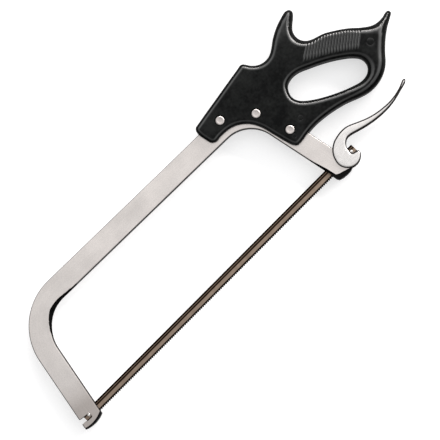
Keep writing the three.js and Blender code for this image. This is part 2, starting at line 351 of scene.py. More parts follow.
def store(piece, name, values):
    """Stores a number or a vector at each point of the piece, for its material."""
    kind, field = ("FLOAT", "value") if values.ndim == 1 else ("FLOAT_VECTOR", "vector")
    layer = piece.data.attributes.new(name, kind, "POINT")
    layer.data.foreach_set(field, values.astype(np.float32).ravel())


def present(piece, body, material, node, grain=lambda p: p, sharp=38):
    """Finishes a piece: grain in millimetres, smooth shading, material, body and CAD node."""
    tidy_mesh(piece)
    store(piece, "grain", grain(saw_points(piece)))
    piece.data.shade_smooth()
    piece.data.set_sharp_from_angle(angle=math.radians(sharp))
    piece.data.materials.clear()
    piece.data.materials.append(material)
    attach(piece, body)
    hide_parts(node)


# ---- materials

class Nodes:
    """A node tree, with short calls for the nodes that the finishes and the tent share."""

    def __init__(self, tree):
        self.tree = tree

    def node(self, kind, **settings):
        made = self.tree.nodes.new(kind)
        for name, value in settings.items():
            setattr(made, name, value)
        return made

    def feed(self, socket, value):
        """Gives a socket another node's output or a constant."""
        if isinstance(value, bpy.types.NodeSocket):
            self.tree.links.new(value, socket)
        else:
            socket.default_value = value

    def math(self, operation, a, b=0.0, c=0.0):
        made = self.node("ShaderNodeMath", operation=operation)
        for socket, value in zip(made.inputs, (a, b, c)):
            self.feed(socket, value)
        return made.outputs[0]

    def noise(self, vector, scale=1.0, detail=3.0, roughness=0.55):
        made = self.node("ShaderNodeTexNoise")
        self.feed(made.inputs["Vector"], vector)
        for name, number in (("Scale", scale), ("Detail", detail), ("Roughness", roughness)):
            made.inputs[name].default_value = number
        return made.outputs["Fac"]

    def spread(self, value, low, high, out_low=0.0, out_high=1.0):
        """The value's place between low and high, as a place between the two outputs."""
        made = self.node("ShaderNodeMapRange")
        for socket, number in zip(made.inputs, (value, low, high, out_low, out_high)):
            self.feed(socket, number)
        return made.outputs[0]

    def ramp(self, value, stops, interpolation="LINEAR"):
        """A colour that depends on the value, through stops of (place, colour)."""
        made = self.node("ShaderNodeValToRGB")
        made.color_ramp.interpolation = interpolation
        self.feed(made.inputs["Fac"], value)
        elements = made.color_ramp.elements
        for element in list(elements)[1:]:
            elements.remove(element)
        elements[0].position = stops[0][0]
        elements[0].color = (*stops[0][1], 1)
        for place, colour in stops[1:]:
            elements.new(place).color = (*colour, 1)
        return made.outputs["Color"]

    def mix(self, share, first, second, blend="MIX"):
        """The first colour with a share of the second."""
        made = self.node("ShaderNodeMix", data_type="RGBA", blend_type=blend)
        self.feed(made.inputs["Factor"], share)
        colours = [socket for socket in made.inputs if socket.type == "RGBA"]
        for socket, colour in zip(colours, (first, second)):
            self.feed(socket, colour if isinstance(colour, bpy.types.NodeSocket) else (*colour, 1))
        return next(socket for socket in made.outputs if socket.type == "RGBA")

    def parts(self, vector):
        made = self.node("ShaderNodeSeparateXYZ")
        self.feed(made.inputs[0], vector)
        return made.outputs


class Shader(Nodes):
    """One node material: its shader, and the grain that the rebuilt pieces carry."""

    def __init__(self, name):
        self.material = bpy.data.materials.new(name)
        self.material.use_nodes = True
        super().__init__(self.material.node_tree)
        self.tree.nodes.clear()
        self.surface = self.node("ShaderNodeBsdfPrincipled")
        output = self.node("ShaderNodeOutputMaterial")
        self.feed(output.inputs["Surface"], self.surface.outputs[0])
        self.grain = self.stored("grain", "Vector")

    def stored(self, name, output="Fac"):
        """A value that the mesh carries at its points."""
        return self.node("ShaderNodeAttribute", attribute_name=name).outputs[output]

    def set(self, **values):
        """Sets the shader's own sockets, whose names have _ for a space."""
        for name, value in values.items():
            self.feed(self.surface.inputs[name.replace("_", " ")], value)

    def source(self, name):
        """What already feeds one of the shader's sockets."""
        return self.surface.inputs[name].links[0].from_socket

    def stretched(self, x, y, z):
        """The grain scaled along each of its axes."""
        made = self.node("ShaderNodeMapping")
        self.feed(made.inputs["Vector"], self.grain)
        made.inputs["Scale"].default_value = (x, y, z)
        return made.outputs[0]

    def bump(self, height, strength, depth):
        """Fine relief, with its depth in millimetres."""
        made = self.node("ShaderNodeBump")
        made.inputs["Strength"].default_value = strength
        made.inputs["Distance"].default_value = depth * MM
        self.feed(made.inputs["Height"], height)
        self.set(Normal=made.outputs[0])


# Darker towards the front end: where the darkening clears along the bow, and the plain colour's share
# within it.
FRONT_DARKENING = {"clears": (38, 68), "plain_share": 0.42, "colour": (0.27, 0.235, 0.215)}
FACET_PAINTED_DARK = (0.004, 0.004, 0.004)  # painted dark reflection: black painted on the creased inner facet
SIDE_PAINTED_SHADE = (0.030, 0.027, 0.026)  # painted shade: the side walls of the tube and the lever painted dull and dark
EDGE_PAINTED_SHADE = (0.024, 0.022, 0.021)  # painted shade over the lever's rounded edges
# How far below the flat faces the painted shade on the side walls begins and where it is full.
SIDE_SHADE_DEPTHS = {"tube": (0.06, 0.21), "lever": (0.9, 1.2)}
DARK, BROWN, LIGHT = (0.008, 0.0055, 0.0045), (0.20, 0.140, 0.100), (0.31, 0.240, 0.190)
# The blade's colours by height, from the tips of its teeth to its back.
BANDS = [(-5.8, DARK), (-2.9, DARK), (-2.6, LIGHT), (0.6, LIGHT), (1.1, BROWN), (1.5, DARK),
         (2.8, DARK), (3.05, BROWN), (3.55, BROWN), (3.8, DARK), (5.7, DARK)]
# The handle's specular level, by how far its surface turns away from the eye.
SHEEN = [(0.0, 0.07), (0.015, 0.09), (0.070, 1.0), (0.150, 1.0), (0.215, 0.03), (1.0, 0.0)]


def grey(level):
    return (level, level, level)


def shade(colour, factor):
    return tuple(part * factor for part in colour)


def brushed_steel(name, colour, roughness, length=0.02, fine=5.0):
    """Satin steel brushed along the grain's x, with faint clouding and a few long scratches."""
    s = Shader(name)
    streaks = s.noise(s.stretched(length, fine, fine), detail=4)
    coarse = s.noise(s.stretched(length * 2, fine / 5, fine / 5), detail=3)
    clouds = s.noise(s.grain, scale=0.035, detail=4)
    scratches = s.spread(s.noise(s.stretched(length * 1.5, 2.2, 2.2), detail=1), 0.70, 0.74)
    speckle = s.noise(s.grain, scale=0.8, detail=2)
    tone = s.math("MULTIPLY_ADD", speckle, 0.35, s.math(
        "MULTIPLY_ADD", streaks, 0.35, s.math("MULTIPLY", clouds, 0.30)))
    s.set(
        Base_Color=s.mix(s.spread(tone, 0.38, 0.62), shade(colour, 0.84), shade(colour, 1.12)),
        Metallic=1.0,
        Roughness=s.math(
            "ADD",
            s.spread(s.math("ADD", coarse, clouds), 0.7, 1.3, roughness - 0.05, roughness + 0.06),
            s.math("MULTIPLY", scratches, 0.10)),
        Anisotropic=0.35,
    )
    s.bump(s.math("SUBTRACT", s.math("ADD", streaks, coarse), scratches), 0.25, 0.02)
    return s


def tube_finish():
    """Brushed stainless steel, darker towards the front end, with black painted on the creased inner
    facet as a painted dark reflection.
    """
    s = brushed_steel("satin_stainless", (0.66, 0.62, 0.597), 0.33)
    flecks = s.noise(s.grain, scale=0.9, detail=4)
    # painted dark reflection: the mask of the creased inner facet, with flecks at its edge
    scale = s.spread(s.math("ADD", s.stored("crease"), s.math("MULTIPLY", flecks, 0.15)), 0.50, 0.62)
    # darker towards the front end of the bow
    along = s.math("ADD", s.parts(s.grain)[0], s.math("MULTIPLY", flecks, 12.0))
    plain_share = s.spread(along, *FRONT_DARKENING["clears"], FRONT_DARKENING["plain_share"])
    s.set(Base_Color=s.mix(plain_share, FRONT_DARKENING["colour"], s.source("Base Color")))
    # painted shade on the tube's side walls
    paint_side_shade(s, TUBE["top"], SIDE_SHADE_DEPTHS["tube"])
    paint_dull_dark(s, scale, FACET_PAINTED_DARK)
    return s.material


def paint_dull_dark(s, share, colour):
    """Paints a share of the metal dull and dark: painted shade on sides and edges, and a painted dark
    reflection on the creased facet.
    """
    bare = s.math("SUBTRACT", 1.0, share)
    s.set(
        Base_Color=s.mix(share, s.source("Base Color"), colour),
        Metallic=bare,
        Specular_IOR_Level=s.math("MULTIPLY", bare, 0.5),
        Roughness=s.math("MAXIMUM", s.source("Roughness"), s.math("MULTIPLY", share, 0.7)),
    )


def paint_side_shade(s, top, shade_depths):
    """Painted shade: the side walls below the flat faces are painted dull and dark."""
    height = s.math("ABSOLUTE", s.parts(s.grain)[2])
    shade_begins, ends = shade_depths
    paint_dull_dark(s, s.spread(height, top - shade_begins, top - ends), SIDE_PAINTED_SHADE)


def lever_finish():
    """A bright casting: satin faces, with painted shade on the sides that reaches a little over the
    rounded edge.
    """
    s = brushed_steel("bright_steel", (0.78, 0.755, 0.74), 0.26, length=0.12, fine=2.5)
    paint_side_shade(s, LEVER["half"], SIDE_SHADE_DEPTHS["lever"])
    # painted shade over the lever's rounded edges
    shade_reach, blur = LEVER["shade_reach"], 0.15
    paint_dull_dark(s, s.spread(s.stored("edge"), shade_reach + blur, shade_reach - blur), EDGE_PAINTED_SHADE)
    return s.material


def rivet_finish():
    """Turned heads: the rings follow the grain's x, which is the distance from the axis."""
    s = Shader("turned_steel")
    radius = s.parts(s.grain)[0]
    rings = s.node("ShaderNodeTexNoise", noise_dimensions="1D")
    s.feed(rings.inputs["W"], radius)
    rings.inputs["Scale"].default_value = 5.0
    clouds = s.noise(s.grain, scale=0.5, detail=4)
    tone = s.math("ADD", s.math("MULTIPLY", rings.outputs["Fac"], 0.6),
                  s.math("MULTIPLY", clouds, 0.4))
    s.set(
        Base_Color=s.mix(s.spread(tone, 0.38, 0.62), (0.44, 0.405, 0.39), (0.60, 0.56, 0.54)),
        Metallic=1.0,
        Roughness=s.spread(clouds, 0.3, 0.7, 0.24, 0.38),
    )
    s.bump(rings.outputs["Fac"], 0.3, 0.03)
    return s.material


def pin_finish():
    """Bright steel, faintly clouded."""
    s = Shader("pin_steel")
    clouds = s.noise(s.grain, scale=0.8, detail=4)
    s.set(
        Base_Color=s.mix(s.spread(clouds, 0.35, 0.65), (0.60, 0.58, 0.56), (0.80, 0.78, 0.76)),
        Metallic=1.0,
        Roughness=s.spread(clouds, 0.3, 0.7, 0.20, 0.34),
    )
    s.bump(clouds, 0.2, 0.03)
    return s.material


def grip_finish():
    """Black moulded plastic with a fine grain, faintly clouded and a little polished by use."""
    s = Shader("moulded_plastic")
    clouds = s.noise(s.grain, scale=0.045, detail=5, roughness=0.6)
    mottle = s.noise(s.grain, scale=0.35, detail=4)
    pores = s.noise(s.grain, scale=3.2, detail=3, roughness=0.7)
    specks = s.spread(s.noise(s.grain, scale=1.7, detail=2), 0.70, 0.78)
    tone = s.math("ADD", s.math("MULTIPLY", clouds, 0.6), s.math("MULTIPLY", mottle, 0.4))
    body = s.mix(s.spread(tone, 0.40, 0.62), (0.0006, 0.0008, 0.0008), (0.0085, 0.0091, 0.0089))
    facing = s.node("ShaderNodeLayerWeight").outputs["Facing"]
    s.set(
        Base_Color=s.mix(s.math("MULTIPLY", specks, 0.35), body, (0.045, 0.044, 0.042)),
        Roughness=s.spread(s.math("ADD", clouds, pores), 0.75, 1.25, 0.26, 0.37),
        Specular_IOR_Level=s.ramp(facing, [(place, grey(level)) for place, level in SHEEN]),
    )
    s.bump(s.math("ADD", pores, s.math("MULTIPLY", mottle, 0.6)), 0.12, 0.06)
    return s.material


def plug_finish():
    """Black plastic, placed by object coordinates: the CAD plugs carry no grain of their own."""
    s = Shader("plug_plastic")
    place = s.node("ShaderNodeTexCoord").outputs["Object"]
    pores = s.noise(place, scale=2400, detail=4, roughness=0.65)
    clouds = s.noise(place, scale=200, detail=3)
    s.set(
        Base_Color=s.mix(clouds, (0.0006, 0.0006, 0.0007), (0.0030, 0.0030, 0.0029)),
        Roughness=s.spread(pores, 0.3, 0.7, 0.42, 0.62),
        Specular_IOR_Level=0.06,
    )
    s.bump(pores, 0.25, 0.06)
    return s.material


def blade_finish():
    """Tempered strip: bronze brown, with dark bands along the back and over the hard teeth."""
    s = Shader("tempered_strip")
    height = s.parts(s.grain)[1]
    wander = s.noise(s.stretched(0.03, 0.3, 0.3), detail=3)
    place = s.math("MULTIPLY_ADD", s.math("SUBTRACT", wander, 0.5), 0.5, height)
    low, high = BANDS[0][0], BANDS[-1][0]
    stops = [((y - low) / (high - low), colour) for y, colour in BANDS]
    bands = s.ramp(s.spread(place, low, high), stops)
    streaks = s.noise(s.stretched(0.05, 3.0, 3.0), detail=4)
    stains = s.noise(s.grain, scale=0.12, detail=5)
    tone = s.math("ADD", s.math("MULTIPLY", streaks, 0.5), s.math("MULTIPLY", stains, 0.5))
    stain = s.mix(s.spread(tone, 0.35, 0.65), (0.62, 0.60, 0.58), (1.0, 1.0, 1.0))
    s.set(
        Base_Color=s.mix(1.0, bands, stain, blend="MULTIPLY"),
        Metallic=1.0,
        Roughness=s.spread(tone, 0.35, 0.65, 0.36, 0.52),
    )
    s.bump(streaks, 0.3, 0.02)
    return s.material


def floor_finish():
    """White paper that gives off a little light of its own."""
    s = Shader("paper_floor")
    place = s.node("ShaderNodeTexCoord").outputs["Object"]
    fibres = s.noise(place, scale=900, detail=3)
    s.set(
        Base_Color=s.mix(fibres, (0.54, 0.54, 0.545), (0.57, 0.57, 0.575)),
        Roughness=0.9,
        Specular_IOR_Level=0.1,
        Emission_Color=(1.0, 1.0, 1.0, 1.0),
        Emission_Strength=0.56,
    )
    return s.material


# ---- bow frame

TUBE = {"half": 12.4, "top": 5.0, "wall": 1.6, "roll": 1.2, "inner_roll": 0.6}
AXIS = [(-3.5, -20.0), (23.2, 125.1), (361.5, 118.5), (390.3, -25.0)]  # corners of the centre line
BEND_RADII = (56.0, 49.2)
FRONT_CUT = {"x": -3.5, "y": 24.0, "radius": 33.0}  # arc of the front arm's rounded end
SLIT = {"half": 1.0, "top": 9.0, "front": (-20, 20), "rear": (360, 405)}
CAM = (401.0, -0.4)  # the centre that the lever turns about
HUB_RADIUS = 7.0
RIVETS = {name: tuple((box_centre(f"rivet_{name}_shank") - ORIGIN) / MM)[:2]
          for name in ("front", "middle", "rear")}
RIVET = {"sink": 6.2, "seat": 11.5, "sleeve": 3.0, "sleeve_end": -8.0, "bore": 1.8,
         "shank": 1.45, "shank_end": -9.0, "chamfer": 0.3}
NOTCH = [(-20, 4.9), (-11.3, 3.3), (-2, 1.95), *arc(0, 0, 1.9, 90, 0, 6),
         *arc(0.1, -2.6, 1.8, 0, -90, 6), (-6.2, -4.1), (-7.3, -2.7), (-20, -2.3)]
THROUGH = 20.0  # reach of the cutters that pass right through
CREASE = [(31.0, 88.5, 0.0), (50.0, 112.0, 4.6), (96.0, 111.0, 0.0), (375.0, 32.0, 0.0),
          (372.0, 4.0, 2.7), (376.0, -20.0, 3.0)]  # x, y and width of the inner facet
FACET_SLOPE = 36.0  # of that facet, in degrees


def bow_line():
    """The centre line of the bow: three straights joined by two round bends, as plan points."""
    corners = [np.array(corner) for corner in AXIS]
    line = [corners[0]]
    for i, radius in ((1, BEND_RADII[0]), (2, BEND_RADII[1])):
        arriving = unit(corners[i] - corners[i - 1])
        leaving = unit(corners[i + 1] - corners[i])
        turn = math.acos(float(arriving @ leaving))
        inward = np.array([arriving[1], -arriving[0]])
        centre = corners[i] - arriving * radius * math.tan(turn / 2) + inward * radius
        start = math.degrees(math.atan2(-inward[1], -inward[0]))
        bend = arc(*centre, radius, start, start - math.degrees(turn), 44)
        line += straight(line[-1], bend[0]) + list(bend)
    line += straight(line[-1], corners[3]) + [corners[3]]
    return np.array(line)


def unit(vector):
    """The vector at length 1."""
    return vector / np.linalg.norm(vector)


def straight(start, end, spacing=8.0):
    """Even steps strictly between two points."""
    count = int(np.linalg.norm(end - start) / spacing)
    return [start + (end - start) * i / count for i in range(1, count)]


BOW = bow_line()
BOW_LENGTHS = np.concatenate([[0], np.cumsum(np.linalg.norm(np.diff(BOW, axis=0), axis=1))])


def bow_grain(points):
    """Distance along the bow, distance outwards from its centre line, and height."""
    start, edge = BOW[:-1], np.diff(BOW, axis=0)
    length = np.linalg.norm(edge, axis=1)
    gaps = points[:, None, :2] - start
    share = ((gaps * edge).sum(2) / length ** 2).clip(0, 1)
    nearest = np.linalg.norm(gaps - share[..., None] * edge, axis=2)
    best = nearest.argmin(1)
    rows = np.arange(len(points))
    along = BOW_LENGTHS[best] + share[rows, best] * length[best]
    cross = edge[best, 0] * gaps[rows, best, 1] - edge[best, 1] * gaps[rows, best, 0]
    outward = cross / length[best]
    return np.stack([along, outward, points[:, 2]], 1)


def crease_width(along):
    """How far the creased inner edge reaches in over the flat side, by distance along the bow."""
    places = bow_grain(np.array([(x, y, 0.0) for x, y, _ in CREASE]))[:, 0]
    return np.interp(along, places, [width for _, _, width in CREASE])


def swept_bar(half, top, roll, creased):
    """A bar along the whole bow with rolled edges, and flattened facets along its inner edge."""
    near = np.array([0, 0.06, 0.18, 0.36, 0.6, 0.85, 1.15, 1.5, 2.0, 2.8])  # in from each edge
    middle = np.linspace(-half + 5, half - 5, 7)
    side = np.stack([-np.gradient(BOW[:, 1]), np.gradient(BOW[:, 0])], 1)
    side /= np.linalg.norm(side, axis=1)[:, None]
    depth = crease_width(BOW_LENGTHS) if creased else np.zeros(len(BOW))
    points, count = [], 2 * (2 * len(near) + len(middle) + 2)
    for place, normal, reach in zip(BOW, side, depth):
        fold = max(reach, 0.03) + np.array([-0.02, 0.02])
        inner = np.sort(np.concatenate([near, fold]))
        across = np.concatenate([-half + inner, middle, (half - near)[::-1]])
        height = rounded_height(half - np.abs(across), top, roll)
        facet = top - (reach - (across + half)) * math.tan(math.radians(FACET_SLOPE))
        height = np.where(across + half < reach, np.minimum(height, facet), height)
        ring = [(*(place + normal * v), z) for v, z in zip(across, height)]
        ring += [(*(place + normal * v), -z) for v, z in zip(across[::-1], height[::-1])]
        points += ring
    faces = []
    for i in range(len(BOW) - 1):
        for k in range(count):
            n = (k + 1) % count
            faces.append((i * count + k, i * count + n, (i + 1) * count + n, (i + 1) * count + k))
    last = (len(BOW) - 1) * count
    faces += [tuple(range(count)), tuple(range(last, last + count))[::-1]]
    return make_object("bar", points, faces)


def below_arc(x, y, radius):
    """Everything below a convex arc: trims the end of the front arm."""
    curve = arc(x, y, radius, -125, -55, 28)
    return prism([(40, -60), (-40, -60), *curve], -THROUGH, THROUGH)


def rear_end_curve():
    """The rounded lower end of the rear arm."""
    start, control, end = (np.array(p) for p in ((372.6, 1.5), (374.6, -7.4), (384.0, -9.0)))
    t = np.linspace(0, 1, 13)[:, None]
    return (1 - t) ** 2 * start + 2 * t * (1 - t) * control + t ** 2 * end


def slit(x, top):
    """A saw cut in the blade's plane, open below."""
    return block(x, (-THROUGH, top), (-SLIT["half"], SLIT["half"]))


def frame_tube():
    """The hollow bow, trimmed, notched and slit at its ends and seated for the cam."""
    half, wall = TUBE["half"], TUBE["wall"]
    tube = swept_bar(half, TUBE["top"], TUBE["roll"], True)
    tube.name = "bow_tube"
    hollow = swept_bar(half - wall, TUBE["top"] - wall, TUBE["inner_roll"], False)
    below_rear_end = [(350, 1.5), *rear_end_curve(), (408, -17), (408, -60), (350, -60)]
    combine(tube, "DIFFERENCE", hollow, below_arc(**FRONT_CUT),
            prism(NOTCH, -THROUGH, THROUGH), slit(SLIT["front"], SLIT["top"]),
            prism(below_rear_end, -THROUGH, THROUGH), slit(SLIT["rear"], SLIT["top"]),
            cylinder(CAM, HUB_RADIUS + FIT, -THROUGH, THROUGH))
    for spot in RIVETS.values():
        combine(tube, "DIFFERENCE", cylinder(spot, RIVET["sleeve"] + FIT, -THROUGH, THROUGH, 32))
    present(tube, "frame", tube_finish(), "frame_tube", grain=bow_grain)
    along, outward, _ = bow_grain(saw_points(tube)).T
    reach = crease_width(along)
    narrowest = 0.25
    # mask of the creased inner facet, which the finish paints black as a painted dark reflection
    store(tube, "crease", (outward + half < reach) & (reach > narrowest))


# ---- handle

HANDLE = {"top": half_size("handle_upper_half").z * 2 + FIT / 2, "cad_edge": 2.4, "seam": 0.45,
          "bow_roll": 5.6, "roll": 6.5, "full_roll": 10.0}
WEB = (462.0, 141.0)  # the middle of the web between horn and grip
HORN = {"start": 138, "length": 24, "behind": 430, "thinning": 2.2}
TAIL = {"start": 518, "length": 28, "above": 66, "thinning": 4.5}
RIBS = {"count": 18, "depth": 0.6, "groove": 0.36,  # groove: half its width, in rib pitches
        "back": [(457.5, 118.0), (484.9, 103.7), (506.0, 84.8)],
        "rim": [(440.5, 107.2), (467.0, 90.3), (492.0, 74.2)]}
MOULD_MARKS = [(393.5, 64.8, 3.0), (375.0, 55.6, 2.4), (506.5, 69.5, 4.2)]  # x, y and radius


def handle_roll(points):
    """Edge rounding: tighter by the bow, full round on the web's side of the horn and the tail."""
    roll = np.interp(points[:, 0], (380, 410), (HANDLE["bow_roll"], HANDLE["roll"]))
    from_web = np.hypot(points[:, 0] - WEB[0], points[:, 1] - WEB[1])
    diagonal = points[:, 0] - points[:, 1]
    web = np.interp(from_web, (18, 34), (1, 0)) * np.interp(diagonal, (300, 315), (0, 1))
    tail = np.interp(diagonal, (402, 440), (0, 1))
    return roll + (HANDLE["full_roll"] - roll) * np.maximum(web, tail)


def handle_top(points):
    """Height of the handle's side: it thins a little towards the tips of the horn and tail."""
    x, y = points.T
    horn = np.clip((y - HORN["start"]) / HORN["length"], 0, 1) * (x > HORN["behind"])
    tail = np.clip((x - TAIL["start"]) / TAIL["length"], 0, 1) * (y > TAIL["above"])
    return HANDLE["top"] - HORN["thinning"] * horn ** 1.5 - TAIL["thinning"] * tail ** 1.3


def rib_curve(ends, share):
    """A point on the curve through three points, at shares 0, 0.5 and 1."""
    a, b, c = (np.array(p) for p in ends)
    share = np.asarray(share)[..., None]
    return (a * (2 * share - 1) * (share - 1) + b * 4 * share * (1 - share)
            + c * share * (2 * share - 1))


def rib_ends(along):
    """Both ends of the ribs at these shares along the grip."""
    return rib_curve(RIBS["back"], along), rib_curve(RIBS["rim"], along)


def rib_position(points):
    """Where plan points lie among the ribs: share along the grip and share across it.

    The share along is found by repeated steps towards the rib that runs through the point.
    """
    along = np.full(len(points), 0.5)
    step = 1e-3
    for _ in range(12):
        top, bottom = rib_ends(along)
        top2, bottom2 = rib_ends(along + step)
        value = np.cross(bottom - top, points - top)
        slope = (np.cross(bottom2 - top2, points - top2) - value) / step
        along = np.clip(along - value / slope, -0.6, 1.6)
    top, bottom = rib_ends(along)
    line = bottom - top
    across = ((points - top) * line).sum(1) / (line ** 2).sum(1)
    return along, across


def rib_depth(points):
    """How deep the grooves between the ribs are at each plan point."""
    along, across = rib_position(points)
    phase = along * RIBS["count"]
    groove = np.clip(1 - np.abs(phase - np.round(phase)) / RIBS["groove"], 0, 1)
    groove = groove * groove * (3 - 2 * groove)
    ends = np.clip((along + 0.03) * 40, 0, 1) * np.clip((1.03 - along) * 40, 0, 1)
    fade = np.clip((1.10 - across) / 0.40, 0, 1) * np.clip((across + 0.9) / 0.2, 0, 1)
    return RIBS["depth"] * groove * ends * fade


def mark_depth(points):
    """Shallow rings left by the mould's ejector pins."""
    depth = np.zeros(len(points))
    for x, y, radius in MOULD_MARKS:
        away = np.hypot(points[:, 0] - x, points[:, 1] - y)
        depth += 0.11 * np.clip(1 - np.abs(away - radius) / 0.55, 0, 1)
    return depth


def handle_points(loops):
    """Plan points that carry the handle's relief: edge roll, ribs and mould marks."""
    roll = HANDLE["full_roll"]
    angles = np.radians(np.arange(7, 91, 7))
    rings = roll * (1 - np.cos(angles))
    plain = inner_points(loops, rings, 3.4, roll + 1.0)
    along, across = np.meshgrid(np.arange(-0.5, RIBS["count"] + 0.51, 0.125) / RIBS["count"],
                                np.linspace(-0.55, 1.08, 61))
    top, bottom = rib_ends(along.ravel())
    ribs = top + (bottom - top) * across.ravel()[:, None]
    ribs = ribs[inside(ribs, loops)]
    ribs = ribs[distance_to(ribs, loops) > 0.25]
    marks = np.concatenate([arc(x, y, radius + step, 0, 348, 29)
                            for x, y, radius in MOULD_MARKS for step in (-0.6, -0.3, 0, 0.3, 0.6)])
    ribbed_along, ribbed_across = rib_position(plain)
    clear = ((ribbed_along < -0.03) | (ribbed_along > 1.03)
             | (ribbed_across < -0.60) | (ribbed_across > 1.1))
    for x, y, radius in MOULD_MARKS:
        clear &= np.hypot(plain[:, 0] - x, plain[:, 1] - y) > radius + 1.2
    return thinned(np.concatenate([marks, ribs, plain[clear]]), 0.16)


def handle_half(name, side, loops, extra, finish):
    """One half, cut out for the bow and the rivets: side 1 is above the blade's plane, -1 below."""
    def upper(points):
        distance = distance_to(points, loops)
        height = rounded_height(distance, handle_top(points), handle_roll(points))
        return height - rib_depth(points) - mark_depth(points)

    def lower(points):
        distance = distance_to(points, loops)
        return FIT / 2 + HANDLE["seam"] * (distance < 0.02)

    half = slab(name, loops, extra, upper, lower)
    if side < 0:
        for vertex in half.data.vertices:
            vertex.co.z = 2 * ORIGIN.z - vertex.co.z
        tidy_mesh(half)
    combine(half, "DIFFERENCE",
            swept_bar(TUBE["half"] + FIT, TUBE["top"] + FIT, TUBE["roll"], False))
    for spot in RIVETS.values():
        seat = (RIVET["seat"] - 0.1, THROUGH) if side > 0 else (-THROUGH, 0.1 - RIVET["seat"])
        combine(half, "DIFFERENCE",
                cylinder(spot, RIVET["sleeve"] + FIT, -THROUGH, THROUGH, 32),
                cylinder(spot, RIVET["sink"], *seat))
    node = "handle_upper_half" if side > 0 else "handle_lower_half"
    present(half, "frame", finish, node, sharp=50)


def handle():
    """Two mirrored halves over the CAD outline, parted at the blade's plane."""
    rings = plan_loops("handle_upper_half", HANDLE["top"] - HANDLE["cad_edge"])[:2]
    loops = [resampled(loop, 1.7) for loop in rings]
    rim = [offset(loop, HANDLE["seam"] if number == 0 else -HANDLE["seam"])
           for number, loop in enumerate(loops)]
    extra = np.concatenate([*rim, handle_points(loops)])
    finish = grip_finish()
    handle_half("grip_upper_half", 1, loops, extra, finish)
    handle_half("grip_lower_half", -1, loops, extra, finish)


# ---- rivets and pins

def rivet_head(head, seat, top):
    """Profile of a rolled head with a dished middle, from its centre to the edge of its seat."""
    return [(0.0, top - 0.30), (1.4, top - 0.28), (2.4, top - 0.20), (3.0, top - 0.07),
            (3.4, top), (4.0, top - 0.02), (4.6, top - 0.16), (head - 0.2, top - 0.45),
            (head, top - 0.8), (head, seat)]


def rivet_grain(spot):
    """Grain of a turned head: distance from its axis, angle and height."""
    def grain(points):
        away = points[:, :2] - np.array(spot)
        return np.stack([np.hypot(*away.T), np.arctan2(away[:, 1], away[:, 0]), points[:, 2]], 1)
    return grain


def rivets():
    """A headed shank from above and a headed sleeve from below at each of the three places."""
    finish = rivet_finish()
    seat, chamfer = RIVET["seat"], RIVET["chamfer"]
    shank_radius, shank_end = RIVET["shank"], RIVET["shank_end"]
    sleeve_radius, sleeve_end, bore = RIVET["sleeve"], RIVET["sleeve_end"], RIVET["bore"]
    for name, spot in RIVETS.items():
        size = half_size(f"rivet_{name}_shank")
        top = abs(((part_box(f"rivet_{name}_shank")[1] - ORIGIN) / MM).z)
        head = rivet_head(size.x, seat, top)
        shank = lathed(f"rivet_{name}_upper", [
            *head, (shank_radius, seat), (shank_radius, shank_end + chamfer + 0.1),
            (shank_radius - chamfer, shank_end), (0.0, shank_end)], spot)
        sleeve = lathed(f"rivet_{name}_lower", [
            *head, (sleeve_radius, seat), (sleeve_radius, sleeve_end + chamfer),
            (sleeve_radius - chamfer, sleeve_end), (bore, sleeve_end),
            (bore, seat - 1), (0.0, seat - 1)], spot, side=-1)
        for piece, node in ((shank, "shank"), (sleeve, "sleeve")):
            present(piece, "frame", finish, f"rivet_{name}_{node}",
                    grain=rivet_grain(spot), sharp=60)


def blade_pins():
    """The two pins, with a chamfer and a shallow dimple at each end."""
    finish = pin_finish()
    for end, x in (("front", 0.0), ("rear", PIN_SPAN)):
        size = half_size(f"{end}_blade_pin")
        radius, reach = size.x, size.z
        rim = [(0.0, reach - 0.1), (0.5, reach - 0.1), (0.7, reach), (radius - 0.35, reach),
               (radius, reach - 0.35)]
        profile = rim + [(r, -z) for r, z in reversed(rim)]
        pin = lathed(f"{end}_pin", profile, (x, 0.0), steps=32)
        present(pin, "blade", finish, f"{end}_blade_pin", sharp=60)


# ---- blade

BLADE = {"half": 0.3, "tip": -5.8, "depth": 1.3, "pitch": 2.54, "lead": 0.45, "set": 0.32}
GROOVE = {"low": 1.5, "high": 2.8, "depth": 0.07}  # rolled line along the back


